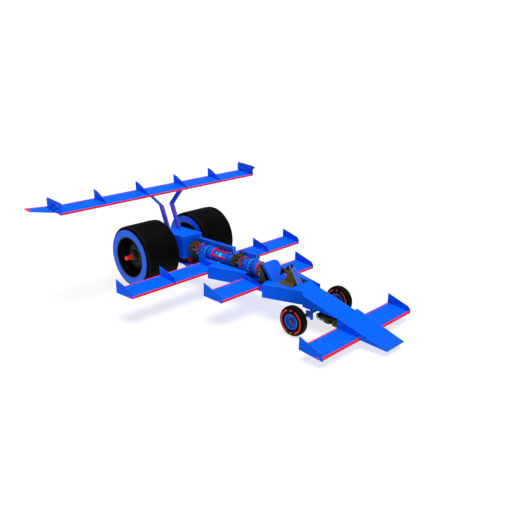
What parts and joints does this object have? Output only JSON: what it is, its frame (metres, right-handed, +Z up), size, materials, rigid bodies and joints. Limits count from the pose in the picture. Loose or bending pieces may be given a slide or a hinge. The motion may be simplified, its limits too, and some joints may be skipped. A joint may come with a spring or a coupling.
{
  "type": "drag racing car",
  "caption": "Open-wheeled drag racing car: flat-panelled zigzag body, in-line turbine engines, stepped wings with end plates, high rear wing, wide rear slicks and steered front wheels.",
  "frame": {"origin": "on the ground under the middle of the car's length and width", "axes": "+X towards the nose, +Y to the car's left, +Z up"},
  "size_m": [6.677, 6.3988, 2.191],
  "materials": {
    "blue_paint": "satin",
    "engine_casing": "satin",
    "dark_olive_metal": "matte",
    "seat_shell": "satin",
    "black_plastic": "matte",
    "blue_rim": "gloss",
    "tyre_rubber": "matte",
    "dark_rim": "satin",
    "red_axle": "gloss"
  },
  "bodies": {
    "chassis": {"floor_pan": "blue_paint", "side_wall_left": "blue_paint", "side_wall_right": "blue_paint", "hood": "blue_paint", "nose_cone": "blue_paint", "front_wing_left": "blue_paint", "front_wing_right": "blue_paint", "mid_wing_left": "blue_paint", "mid_wing_right": "blue_paint", "low_wing_left": "blue_paint", "low_wing_right": "blue_paint", "top_wing": "blue_paint", "top_end_plate_left": "blue_paint", "top_end_plate_right": "blue_paint", "wing_strut_left": "blue_paint", "wing_strut_right": "blue_paint", "gearbox_housing": "blue_paint", "axle_hanger_left": "blue_paint", "axle_hanger_right": "blue_paint", "engine_rear": "engine_casing", "engine_front": "engine_casing", "engine_rear_boxes": "engine_casing", "engine_front_box": "engine_casing", "gearbox_sump": "dark_olive_metal", "engine_cradle": "dark_olive_metal", "firewall": "dark_olive_metal", "steering_column": "dark_olive_metal", "front_keel": "dark_olive_metal", "front_equipment": "dark_olive_metal", "front_axle_beam": "dark_olive_metal", "dash_pedestal": "dark_olive_metal", "seat": "seat_shell", "cowl_camera": "black_plastic"},
    "steering_wheel": {"steering_wheel": "black_plastic"},
    "knuckle_left": {"knuckle_left": "blue_paint"},
    "knuckle_right": {"knuckle_right": "blue_paint"},
    "front_wheel_left": {"front_wheel_left": "blue_rim", "front_tyre_left": "tyre_rubber"},
    "front_wheel_right": {"front_wheel_right": "blue_rim", "front_tyre_right": "tyre_rubber"},
    "rear_axle": {"rear_axle": "red_axle", "rear_wheel_left": "dark_rim", "rear_wheel_right": "dark_rim", "rear_tyre_left": "tyre_rubber", "rear_tyre_right": "tyre_rubber"}
  },
  "joints": [
    {"name": "rear_axle_spin", "type": "hinge", "parent": "chassis", "child": "rear_axle", "pos_m": [-2.6535, 0, 0.685], "axis": [0, 1, 0], "continuous": true},
    {"name": "steer_left", "type": "hinge", "parent": "chassis", "child": "knuckle_left", "pos_m": [1.5885, 0.59, 0.288], "axis": [0, 0, 1], "range_deg": [-20, 20]},
    {"name": "steer_right", "type": "hinge", "parent": "chassis", "child": "knuckle_right", "pos_m": [1.5885, -0.59, 0.288], "axis": [0, 0, 1], "range_deg": [-20, 20]},
    {"name": "front_wheel_left_spin", "type": "hinge", "parent": "knuckle_left", "child": "front_wheel_left", "pos_m": [1.5885, 0.687, 0.288], "axis": [0, 1, 0], "continuous": true},
    {"name": "front_wheel_right_spin", "type": "hinge", "parent": "knuckle_right", "child": "front_wheel_right", "pos_m": [1.5885, -0.687, 0.288], "axis": [0, 1, 0], "continuous": true},
    {"name": "steering_wheel_turn", "type": "hinge", "parent": "chassis", "child": "steering_wheel", "pos_m": [0.7555, 0, 0.884], "axis": [-0.9659, 0, 0.2588], "range_deg": [-120, 120]}
  ],
  "couplings": [
    {"joint": "steer_right", "follows": "steer_left", "ratio": 1},
    {"joint": "steering_wheel_turn", "follows": "steer_left", "ratio": 6}
  ]
}
